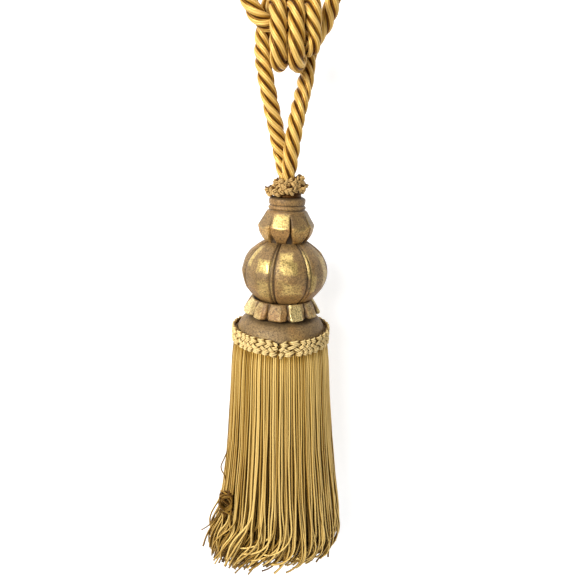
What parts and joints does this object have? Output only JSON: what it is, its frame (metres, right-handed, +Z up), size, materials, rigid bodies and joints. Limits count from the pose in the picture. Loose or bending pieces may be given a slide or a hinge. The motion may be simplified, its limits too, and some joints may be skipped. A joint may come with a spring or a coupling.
{
  "type": "curtain tieback tassel",
  "caption": "Tassel with a carved gilt wooden head and a cut fringe skirt, hung from a twisted cord that is knotted into a loop to hold a curtain back.",
  "frame": {"origin": "the point where a hook carries the cord's loop, on the underside of the cord at the loop's crown", "axes": "+Z up along the hanging tassel, +X to its right as seen from the front, -Y towards the front"},
  "size_m": [0.1004, 0.1004, 0.4245],
  "materials": {
    "cord": "bright satin gold viscose cord, twisted from four strands",
    "gimp": "pale gold plaited gimp",
    "fringe": "olive gold silky cut fringe",
    "gilt_wood": "carved wood, antique bronze paint rubbed with pale gold on the high places",
    "bronzed_wood": "turned wood, dull brown bronze paint"
  },
  "bodies": {
    "root": {"tieback_cord": "cord", "neck_collar": "gimp", "petal_cup": "gilt_wood", "melon_ball": "gilt_wood", "ruff": "gilt_wood", "skirt_mould": "bronzed_wood", "skirt_braid": "gimp", "skirt_fringe": "fringe"}
  },
  "joints": []
}
